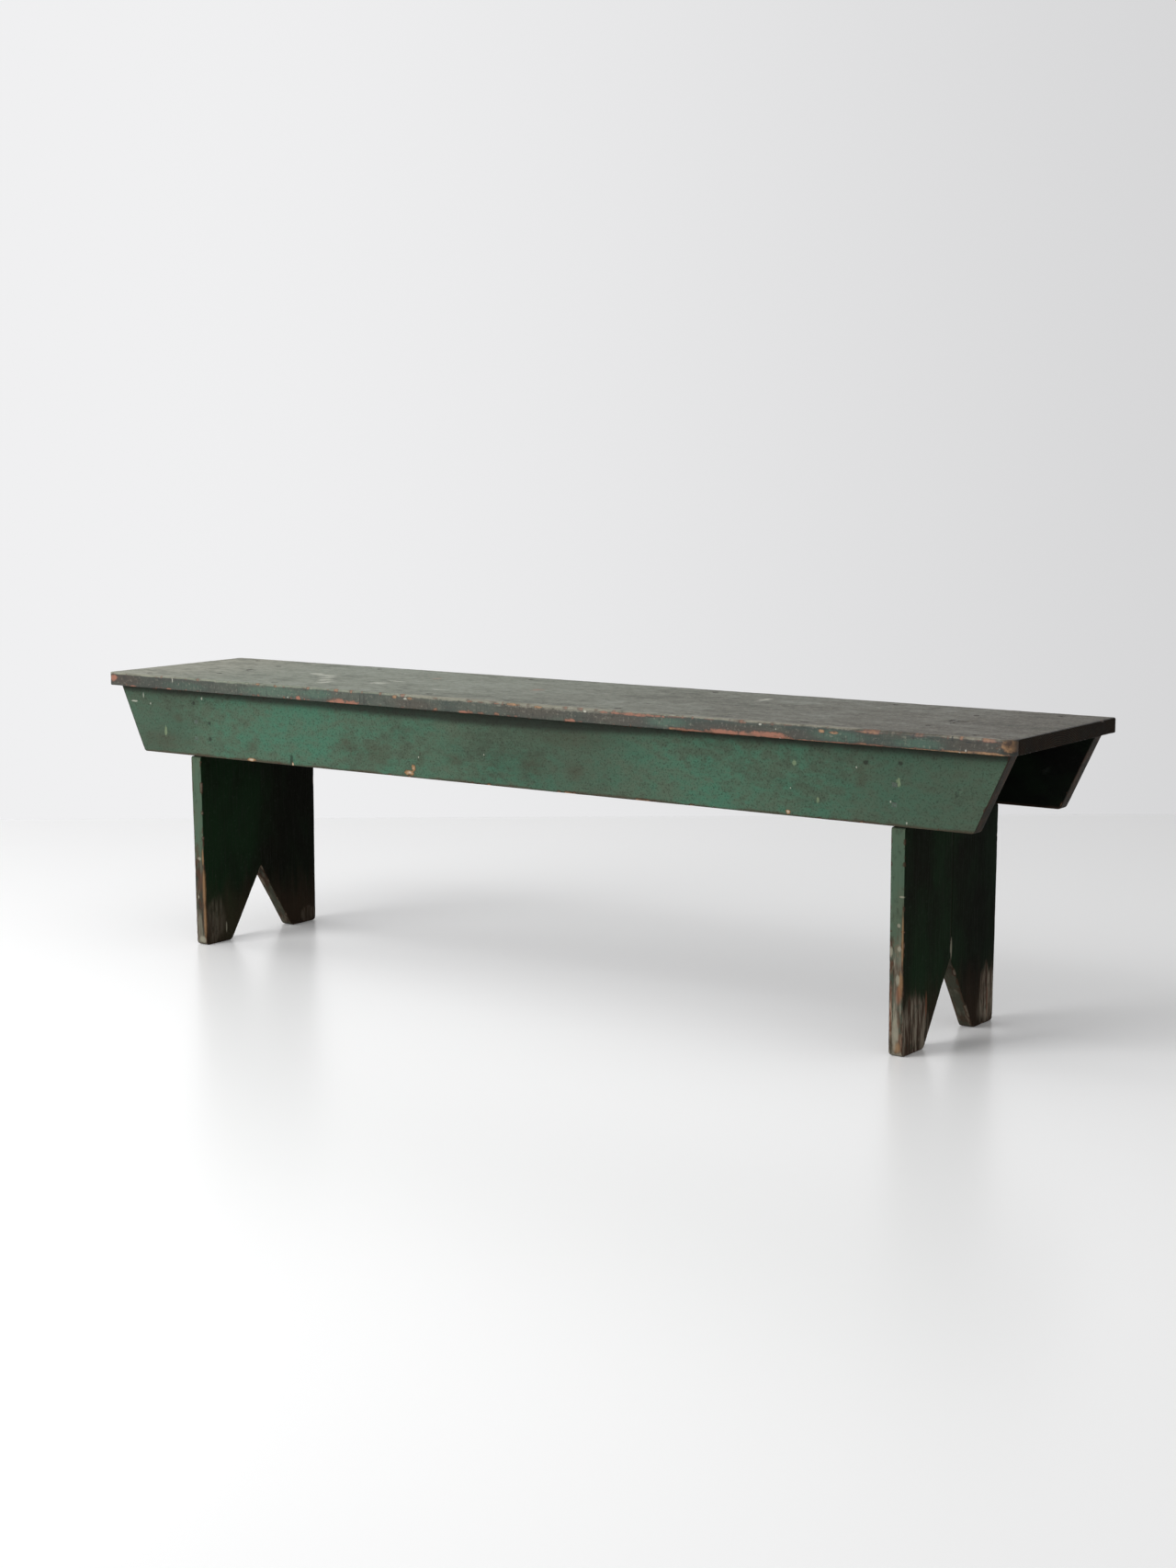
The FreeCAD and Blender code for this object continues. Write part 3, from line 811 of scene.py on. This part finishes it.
def apron_paint(colours):
    """Milk paint brushed on pine: green with brown clouds, a few chips and browned arrises."""
    # Nobody sits on the aprons, so the paint is still matt: the eye sees its green, freckled and
    # clouded, with hardly a reflection
    material, tree, shader, parts = painted("apron_milk_paint_brushed", 0, 5)
    place = parts.place
    teal = marks(tree, place, parts.patches, APRON_TEAL)
    mottle = mixed_masks(tree, (parts.patches, 0.4), (parts.chips, 0.4), (parts.clouds, 0.2))
    smoky = mixed_masks(tree, (parts.chips, 0.5), (parts.clouds, 0.5))
    dull = marks(tree, place, parts.patches, APRON_DULL)
    stained = marks(tree, place, parts.patches, APRON_STAINS)
    colour = coats(
        tree, colours.green,
        (colours.teal, teal, 2.6, 1.1),
        (colours.moss, mottle, 0.38, 0.62, 0.75),
        (colours.cloud, smoky, 0.46, 0.68, 0.48),
        (colours.grime_and_shade, parts.grit, 0.48, 0.75, 0.6),
        (colours.edge_green, parts.grit, 0.48, 0.25, 0.7),
        (colours.cloud, dull, 2.8, 1.2, 0.3),
        (colours.dark_wood, stained, 2.6, 0.9, 0.3))
    # A painted shadow of the seat's overhang, with soot in it, darkens the top of the apron. In the middle
    # it reaches 9 mm further down than at the left end, and at the right 8 mm less far than in the middle
    shadow_and_soot_parts = [(parts.z, 1.0), (parts.patches, 6 * MM)]
    for start, end, further in ((-0.75, -0.1, 9 * MM), (0.1, 0.3, -8 * MM)):
        bounds = {"From Min": start, "From Max": end, "To Min": 0.0, "To Max": further}
        reach = add_node(tree, "ShaderNodeMapRange", bounds, {"Value": parts.x})
        shadow_and_soot_parts.append((reach.outputs[0], 1.0))
    darkened = mixed_masks(tree, *shadow_and_soot_parts)
    # Painted shade: the inner face, which the seat and the other apron keep in deep shade, is painted
    # nearly black
    inner = coat(tree, colours.soot, colours.leg_dark, parts.clouds, 0.4, 0.6, 0.4)
    # The paint of the inner face starts 2 mm out from it, beyond its arris
    inner_face = 2 * MM - APRON_HIGH.y
    low = mixed_masks(tree, (parts.z, 1.0), (parts.patches, -9 * MM))
    worn = mixed_masks(tree, (parts.arris, 1.0), (parts.chips, 0.6), (parts.specks, 0.4))
    colour = coats(
        tree, colour,
        # Painted shadow of the seat's overhang, with soot in it
        (colours.grime_and_shade, darkened, APRON_HIGH.z - 11 * MM, APRON_HIGH.z, 0.78),
        (inner, distance(tree, parts.y), inner_face, inner_face - 1 * MM),
        (colours.dark_wood, low, APRON_LOW.z + 1 * MM, APRON_LOW.z - 4 * MM, 0.75),
        (colours.dark_wood, worn, 0.9, 1.15, 0.9),
        (colours.wood, worn, 1.35, 1.55, 0.7))
    # The raked ends are told apart by how far a point lies past the slope of the rake
    slope = APRON_RAKE / (APRON_HIGH.z - APRON_LOW.z)
    rake = mixed_masks(tree, (distance(tree, parts.x), 1.0), (parts.z, -slope))
    end = APRON_HIGH.x - APRON_HIGH.z * slope
    sawn = coats(
        tree, colours.dark_wood,
        (colours.grime_and_shade, parts.patches, 0.35, 0.6, 0.9),
        (colours.edge_grey, parts.specks, 0.54, 0.75, 0.5))
    dark = marks(tree, place, parts.specks, APRON_DARK)
    ragged = mixed_masks(tree, (parts.chips, 1.0), (parts.specks, 1.0))
    bare = marks(tree, place, ragged, APRON_BARE)
    lichen = marks(tree, place, ragged, APRON_LICHEN)
    white = marks(tree, place, parts.specks, APRON_WHITE)
    colour = coats(
        tree, colour,
        (sawn, rake, end - 2 * MM, end - 1 * MM),
        (colours.grime_and_shade, dark, 2.1, 1.3, 0.7),
        (colours.dark_wood, bare, 2.95, 2.45, 0.7),
        (colours.wood, bare, 2.65, 2.25, 0.8),
        (colours.chalk, bare, 2.2, 1.7, 0.4),
        (colours.lichen, lichen, 2.7, 2.1, 0.4),
        (colours.chalk, white, 1.8, 1.3, 0.42))
    heights = ((parts.streaks, 0.8), (parts.specks, 0.6), (parts.patches, 0.6), (parts.grit, 0.5))
    finish_shader(tree, shader, colour, parts.clouds, 0.55, 0.7, 0.12, heights, 0.4 * MM)
    return material


def leg_paint(colours):
    """Milk paint on upright pine: nearly black on the broad faces, worn to grey wood at the feet."""
    # Dirt has filled the paint: the eye sees a face without gloss, and fibres where feet have kicked it
    material, tree, shader, parts = painted("leg_milk_paint_worn_feet", 2, 9)
    place, height = parts.place, parts.z
    # Painted shade: the broad faces are painted darker towards their back edges
    away = mixed_masks(tree, (parts.y, 1.0), (parts.clouds, 0.1))
    at_foot = mixed_masks(tree, (height, 1.0), (parts.wide_streaks, -0.08), (parts.patches, -0.05))
    # The near black of the broad faces is dark paint and painted shade
    face = coats(
        tree, colours.leg_dark,
        (colours.leg_brown, parts.clouds, 0.38, 0.66),
        (colours.grime_and_shade, parts.streaks, 0.5, 0.8, 0.7),
        (colours.cloud, parts.specks, 0.56, 0.8, 0.35),
        (colours.soot, away, 0.03, 0.18, 0.5),
        (colours.dark_wood, at_foot, 0.05, -0.04, 0.45))
    fibres = brushed(tree, place, 3 * MM, (1.0, 1.0, 9.0), 15, 3.0, 0.65)
    streaked = coats(
        tree, colours.dark_wood,
        (colours.grey_wood, fibres, 0.37, 0.6),
        (colours.cloud, parts.chips, 0.54, 0.68, 0.6))
    upright = mixed_masks(tree, (fibres, 1.0), (parts.wide_streaks, 1.0))
    faint = marks(tree, place, upright, FAINT_STREAKS)
    kicked = marks(tree, place, upright, FOOT_STREAKS)
    face = coats(
        tree, face,
        (streaked, faint, 2.8, 2.3, 0.25),
        (streaked, kicked, 2.95, 2.45, 0.9))
    low_fibres = mixed_masks(tree, (fibres, 1.0), (height, -1.5))
    rubbed_edge = coats(
        tree, colours.edge_grey,
        (colours.dark_wood, parts.chips, 0.42, 0.62, 0.8),
        (colours.grey_wood, parts.wide_streaks, 0.45, 0.65, 0.7),
        (colours.cloud, parts.patches, 0.5, 0.65, 0.3),
        (colours.undercoat, parts.patches, 0.5, 0.35, 0.3),
        (colours.dust_and_sheen, low_fibres, 0.38, 0.52, 0.75),
        (colours.grime_and_shade, parts.x, 0.0, -0.1, 0.5))
    low_edge = mixed_masks(tree, (height, 1.0), (parts.chips, -0.12))
    edge = coats(
        tree, colours.edge_green,
        (colours.moss, parts.patches, 0.4, 0.65, 0.8),
        (colours.grime_and_shade, parts.chips, 0.5, 0.75, 0.5),
        (rubbed_edge, low_edge, 0.13, 0.06))
    notch = coats(
        tree, colours.dark_wood,
        (colours.grey_wood, parts.wide_streaks, 0.45, 0.7, 0.5),
        (colours.edge_grey, parts.patches, 0.4, 0.6, 0.7))
    # The outer edges lie at the board's full width, and those of the notch well inside it
    across = distance(tree, parts.y)
    edge = coat(tree, notch, edge, across, LEG_HIGH.y - 22 * MM, LEG_HIGH.y - 16 * MM)
    # All edges lie between the planes of the two broad faces
    middle, half = (LEG_LOW.x + LEG_HIGH.x) / 2, (LEG_HIGH.x - LEG_LOW.x) / 2
    from_middle = distance(tree, distance(tree, parts.x), middle)
    worn = mixed_masks(tree, (parts.arris, 1.0), (parts.chips, 0.6), (parts.specks, 0.4), (height, -0.6))
    ragged = mixed_masks(tree, (parts.chips, 0.6), (fibres, 0.6))
    tan = marks(tree, place, ragged, LEG_TAN)
    orange = marks(tree, place, ragged, LEG_ORANGE)
    pale = marks(tree, place, ragged, LEG_PALE)
    split = marks(tree, place, parts.specks, LEG_SPLIT)
    colour = coats(
        tree, face,
        (edge, from_middle, half - 0.5 * MM, half - 1.2 * MM),
        (colours.dark_wood, worn, 0.8, 1.05, 0.85),
        (colours.grey_wood, worn, 1.15, 1.5, 0.5),
        (colours.dark_wood, tan, 2.4, 1.9, 0.5),
        (colours.wood, tan, 2.1, 1.4, 0.5),
        (colours.undercoat, orange, 2.3, 1.5, 0.35),
        (colours.dust_and_sheen, pale, 2.2, 1.5, 0.7),
        (colours.grime_and_shade, split, 2.0, 1.5))
    heights = ((parts.streaks, 1.5), (parts.specks, 0.5), (parts.patches, 0.5))
    finish_shader(tree, shader, colour, parts.clouds, 0.7, 0.85, 0.06, heights, 0.5 * MM)
    return material


def nail_finish(name, ground, spots, metallic):
    """Cut iron, rusted dark or brushed over with the board's paint: dull, with spots of rust."""
    # Rust scatters the light, so a head is a small dark dot and never a bright one
    material, tree, shader = new_material(name)
    place = add_node(tree, "ShaderNodeTexCoord").outputs["Object"]
    rust = brushed(tree, place, 1.2 * MM)
    colour = coat(tree, ground, spots, rust, 0.4, 0.7)
    finish_shader(tree, shader, colour, rust, 0.5, 0.8, 0.5, ((rust, 1.0),), 0.2 * MM)
    shader.inputs["Metallic"].default_value = metallic
    return material


# Pieces

def base_wear(sizes, seed, **changes):
    """What wears every board, with what is different on one of them."""
    wear = {
        "upper": sizes.board_arris, "lower": sizes.board_arris, "chip": sizes.chip_depth * 0.6,
        "wave": sizes.wave_depth, "seed": seed, "step": sizes.step,
        "face_rows": 10, "arris_rows": 5, "edge_rows": 4, "split": 0.0,
    }
    wear.update(changes)
    return wear


def long_spine(half_length, half_width):
    """The spine of a long board: its middle line, stopped short of both ends."""
    reach = half_length - half_width

    def spine(paired, outline):
        return np.stack([np.clip(paired[:, 0], -reach, reach), paired[:, 1]], axis=1)

    return spine


class BENCH_OT_seat(bpy.types.Operator):
    """Make the worn seat board"""

    bl_idname = "bench.make_seat"
    bl_label = "Seat"

    def execute(self, context):
        sizes = context.scene.bench_sizes
        half_length, half_width = SEAT_HIGH.x, SEAT_HIGH.y
        corners = [
            (-half_length, 0.0, 0.0),
            (-half_length, -half_width, sizes.seat_corner),
            (half_length, -half_width, sizes.worn_corner),
            (half_length, 0.0, 0.0),
            (half_length, half_width, sizes.crisp_corner),
            (-half_length, half_width, sizes.seat_corner),
        ]
        axes = ((1, 0, 0), (0, 1, 0), (0, 0, 1))
        wear = base_wear(sizes, 11, upper=sizes.seat_arris, lower=sizes.under_arris,
                         chip=sizes.chip_depth, face_rows=13)
        thickness = SEAT_HIGH.z - SEAT_LOW.z
        spine = long_spine(half_length, half_width)
        piece = board_surface("seat", corners, axes, SEAT_LOW.z, thickness, spine, wear)
        sink_nails(piece, nail_heads("seat_nails", 2, 1), 2, 1, sizes)
        colours = context.scene.bench_colours
        dress(piece, "seat_board", seat_top_paint(colours))
        piece.data.materials.append(seat_edge_paint(colours))
        piece.data.materials.append(sawn_end(colours))
        # Faces wear the first material, or the second near an edge, or the third on an end
        across = np.abs(places_of(piece.data.polygons, "center"))
        near_edge = (across[:, 0] > half_length - EDGE_BAND) | (across[:, 1] > half_width - EDGE_BAND)
        at_end = across[:, 0] > half_length - 1 * MM
        piece.data.polygons.foreach_set("material_index", np.where(at_end, 2, near_edge).astype(np.int32))
        return {"FINISHED"}


class BENCH_OT_aprons(bpy.types.Operator):
    """Make the two worn aprons"""

    bl_idname = "bench.make_aprons"
    bl_label = "Aprons"

    def execute(self, context):
        sizes = context.scene.bench_sizes
        material = apron_paint(context.scene.bench_colours)
        top, bottom = APRON_HIGH.z, APRON_LOW.z
        middle = (top + bottom) / 2
        half_top = APRON_HIGH.x
        half_bottom = half_top - APRON_RAKE
        half_middle = (half_top + half_bottom) / 2
        corner = sizes.apron_corner
        corners = [
            (-half_middle, middle, 0.0),
            (-half_bottom, bottom, corner),
            (half_bottom, bottom, corner),
            (half_middle, middle, 0.0),
            (half_top, top, corner / 4),
            (-half_top, top, corner / 4),
        ]
        spine = long_spine(half_middle, (top - bottom) / 2)
        for name, side in (("front_apron", -1), ("back_apron", 1)):
            low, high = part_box(name)
            level = min(low.y * side, high.y * side)
            axes = ((1, 0, 0), (0, 0, 1), (0, side, 0))
            wear = base_wear(sizes, 31 + side)
            piece = board_surface(name + "_board", corners, axes, level, high.y - low.y, spine, wear)
            sink_nails(piece, nail_heads(name + "_nails", 1, side), 1, side, sizes)
            dress(piece, name, material)
        return {"FINISHED"}


class BENCH_OT_legs(bpy.types.Operator):
    """Make the two worn legs with their feet"""

    bl_idname = "bench.make_legs"
    bl_label = "Legs"

    def execute(self, context):
        sizes = context.scene.bench_sizes
        material = leg_paint(context.scene.bench_colours)
        neck = -APRON_HIGH.y
        top = LEG_HIGH.z
        shoulder = APRON_LOW.z - SHOULDER_GAP
        half_shoulder = LEG_HIGH.y
        half_foot = half_shoulder - LEG_TAPER
        half_outline = [
            (neck, top, 1 * MM),
            (neck, shoulder, 0.0),
            (half_shoulder, shoulder, sizes.shoulder_corner),
            (half_foot, 0.0, sizes.toe_corner),
            (half_foot - FOOT_WIDTH, 0.0, sizes.heel_corner),
        ]
        corners = [(0.0, top, 0.0)] + half_outline + [(0.0, NOTCH_HEIGHT, 0.0)]
        corners += [(-y, z, radius) for y, z, radius in reversed(half_outline)]
        # The spine stands upright between two ends, and both feet fan out from its lower one
        spine_low, spine_high = NOTCH_HEIGHT + 8 * MM, top - 30 * MM

        def spine(paired, outline):
            across, up = outline[:, 0], outline[:, 1]
            heights = np.interp(up, [spine_low, shoulder, top], [spine_low, shoulder, spine_high])
            past_neck = np.maximum(np.abs(across) - neck, 0.0)
            lower = np.where(up > spine_low, 0.6 * past_neck, 0.0)
            return np.stack([np.zeros(len(outline)), np.maximum(heights - lower, spine_low)], axis=1)

        for name, side in (("left_leg", -1), ("right_leg", 1)):
            low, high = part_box(name)
            level = min(low.x * side, high.x * side)
            axes = ((0, 1, 0), (0, 0, 1), (side, 0, 0))
            wear = base_wear(sizes, 51 + side, split=sizes.split_depth if side > 0 else 0.0)
            piece = board_surface(name + "_board", corners, axes, level, high.x - low.x, spine, wear)
            dress(piece, name, material)
        return {"FINISHED"}


class BENCH_OT_nails(bpy.types.Operator):
    """Give the nails their rusted iron, and those of the aprons their paint"""

    bl_idname = "bench.finish_nails"
    bl_label = "Nails"

    def execute(self, context):
        colours = context.scene.bench_colours
        bare = nail_finish("nail_iron_rusted", colours.iron, colours.dark_wood, 0.5)
        coated = nail_finish("nail_iron_painted", colours.cloud, colours.green, 0.0)
        for name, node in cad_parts.items():
            if "nails" in name:
                node.data.materials.clear()
                node.data.materials.append(bare if name.startswith("seat") else coated)
        return {"FINISHED"}


# Stage

# The lamps: name, place, what each faces, and how wide and long it is
LAMPS = (
    ("key", (-1.3, -2.7, 2.0), (0.0, 0.0, 0.2), (1.7, 3.2)),
    ("top", (0.0, -1.6, 3.0), (0.0, -0.6, 0.0), (3.4, 4.6)),
    ("side", (-6.0, -0.6, 1.5), (0.3, 0.0, 0.2), (3.0, 2.4)),
)


def area_light(name, place, target, size, watts):
    """A large soft lamp at place that faces target."""
    lamp = bpy.data.lights.new(name, "AREA")
    lamp.shape = "RECTANGLE"
    lamp.size, lamp.size_y = size
    lamp.energy = watts
    holder = put_in_scene(name, lamp)
    holder.location = place
    way = np.array(target) - np.array(place)
    flat = math.hypot(way[0], way[1])
    holder.rotation_euler = (math.pi / 2 + math.atan2(way[2], flat), 0.0, math.atan2(-way[0], way[1]))


def sheet(name, centre, across, up, half_width, half_height, material):
    """A flat sheet of four corners that belongs to the studio."""
    centre, across, up = (np.array(v, float) for v in (centre, across, up))
    corners = [centre + across * x * half_width + up * y * half_height
               for x, y in ((-1, -1), (1, -1), (1, 1), (-1, 1))]
    mesh = bpy.data.meshes.new(name)
    mesh.from_pydata([tuple(c) for c in corners], [], [(0, 1, 2, 3)])
    mesh.materials.append(material)
    put_in_scene(name, mesh)


def in_view(tree):
    """1 for rays from the camera and for those that a gloss sends back, and 0 for all others."""
    path = add_node(tree, "ShaderNodeLightPath")
    rays = {0: path.outputs["Is Camera Ray"], 1: path.outputs["Is Glossy Ray"]}
    return add_node(tree, "ShaderNodeMath", {"operation": "MAXIMUM"}, rays).outputs[0]


def floor_paint(stage):
    """Gloss paint on a floor: near white, with a blurred reflection."""
    # Boards under the paint blur it, so the eye sees the legs again below them, soft and faint
    material, tree, shader = new_material("floor_gloss_paint")
    shader.inputs["Base Color"].default_value = (*stage.floor, 1.0)
    shader.inputs["Roughness"].default_value = 0.28
    return material


def wall_glow(stage, across):
    """A glowing wall in painted light, brighter on the left.

    It is seen and reflected in front, and clear from behind and to all other light.
    """
    # The eye sees an even pale ground, without the bench's shadow. Its painted light fades from 1 m left
    # of the middle to 2 m right of it.
    material, tree, shader = new_material("wall_matt_paint")
    tree.nodes.remove(shader)
    place = add_node(tree, "ShaderNodeTexCoord").outputs["Object"]
    sideways = {"operation": "DOT_PRODUCT", 1: tuple(across)}
    along = add_node(tree, "ShaderNodeVectorMath", sideways, {0: place})
    colour = coat(tree, stage.wall_left, stage.wall_right, along.outputs["Value"], -1.0, 2.0)
    glow = add_node(tree, "ShaderNodeEmission", links={"Color": colour}).outputs[0]
    clear = add_node(tree, "ShaderNodeBsdfTransparent").outputs[0]
    seen = in_view(tree)
    behind = add_node(tree, "ShaderNodeNewGeometry").outputs["Backfacing"]
    only_in_front = {"operation": "SUBTRACT", "use_clamp": True}
    shown = add_node(tree, "ShaderNodeMath", only_in_front, {0: seen, 1: behind})
    wall = add_node(tree, "ShaderNodeMixShader", links={0: shown.outputs[0], 1: clear, 2: glow})
    tree.links.new(wall.outputs[0], tree.nodes["Material Output"].inputs["Surface"])
    return material


def room_light(stage):
    """A world that lights the bench evenly from all sides, and shows the horizon where it is seen."""
    world = bpy.data.worlds.new("room")
    world.use_nodes = True
    tree = world.node_tree
    tree.nodes.clear()
    seen = in_view(tree)
    fill = {"Color": (1.0, 1.0, 1.0, 1.0), "Strength": stage.fill_strength}
    light = add_node(tree, "ShaderNodeBackground", fill).outputs[0]
    horizon = {"Color": (*stage.horizon, 1.0), "Strength": 1.0}
    view = add_node(tree, "ShaderNodeBackground", horizon).outputs[0]
    both = add_node(tree, "ShaderNodeMixShader", links={0: seen, 1: light, 2: view})
    add_node(tree, "ShaderNodeOutputWorld", links={"Surface": both.outputs[0]})
    return world


def photograph_camera():
    """The camera that took the photograph: its lens, its shift, and where it stands and looks."""
    camera = bpy.data.cameras.new("camera")
    camera.sensor_fit = "HORIZONTAL"
    camera.sensor_width = SENSOR_WIDTH
    camera.lens = FOCAL_PIXELS / IMAGE_WIDTH * SENSOR_WIDTH
    camera.shift_x = (IMAGE_WIDTH / 2 - CENTRE_PIXEL[0]) / IMAGE_WIDTH
    camera.shift_y = (CENTRE_PIXEL[1] - IMAGE_HEIGHT / 2) / IMAGE_WIDTH
    camera.clip_end = 60.0
    holder = put_in_scene("camera", camera)
    holder.location = CAMERA_PLACE
    level = Matrix.Rotation(CAMERA_TURN, 3, "Z") @ Matrix.Rotation(math.pi / 2 + CAMERA_TILT, 3, "X")
    holder.rotation_euler = (level @ Matrix.Rotation(CAMERA_ROLL, 3, "Z")).to_euler()
    return holder


class BENCH_OT_stage(bpy.types.Operator):
    """Set up the floor, the wall, the lights and the camera"""

    bl_idname = "bench.make_stage"
    bl_label = "Stage"

    def execute(self, context):
        scene = context.scene
        stage = scene.bench_stage
        ahead = np.array([-math.sin(CAMERA_TURN), math.cos(CAMERA_TURN), 0.0])
        right = np.array([math.cos(CAMERA_TURN), math.sin(CAMERA_TURN), 0.0])
        above = np.array([0.0, 0.0, 1.0])
        floor_half, wall_width, wall_height = 30.0, 24.0, 8.0
        wall_centre = ahead * stage.wall_distance + above * wall_height / 2
        sheet("floor", (0, 0, 0), (1, 0, 0), (0, 1, 0), floor_half, floor_half, floor_paint(stage))
        sheet("wall", wall_centre, right, above, wall_width / 2, wall_height / 2, wall_glow(stage, right))
        scene.world = room_light(stage)
        for name, place, target, size in LAMPS:
            area_light(name, place, target, size, getattr(stage, name + "_watts"))
        scene.camera = photograph_camera()
        scene.view_settings.view_transform = "Standard"
        return {"FINISHED"}


class BENCH_PT_panel(bpy.types.Panel):
    """The bench's pieces, sizes and colours"""

    bl_label = "Bench"
    bl_idname = "BENCH_PT_panel"
    bl_space_type = "VIEW_3D"
    bl_region_type = "UI"
    bl_category = "Bench"

    def draw(self, context):
        for operator in MAKERS:
            self.layout.operator(operator.bl_idname)
        for name, group in GROUPS.items():
            box = self.layout.box()
            for setting in group.__annotations__:
                box.prop(getattr(context.scene, name), setting)


MAKERS = (BENCH_OT_seat, BENCH_OT_aprons, BENCH_OT_legs, BENCH_OT_nails, BENCH_OT_stage)
GROUPS = {"bench_sizes": BenchSizes, "bench_colours": BenchColours, "bench_stage": BenchStage}
CLASSES = (*GROUPS.values(), *MAKERS, BENCH_PT_panel)


def register():
    """Register the classes and hang the settings on the scene."""
    for item in CLASSES:
        bpy.utils.register_class(item)
    for name, group in GROUPS.items():
        setattr(bpy.types.Scene, name, bpy.props.PointerProperty(type=group))


def unregister():
    """Take the settings and the classes away again."""
    for name in GROUPS:
        delattr(bpy.types.Scene, name)
    for item in reversed(CLASSES):
        bpy.utils.unregister_class(item)


def main():
    """Make every piece and the stage."""
    register()
    bpy.ops.bench.make_seat()
    bpy.ops.bench.make_aprons()
    bpy.ops.bench.make_legs()
    bpy.ops.bench.finish_nails()
    bpy.ops.bench.make_stage()


if __name__ == "__main__":
    main()
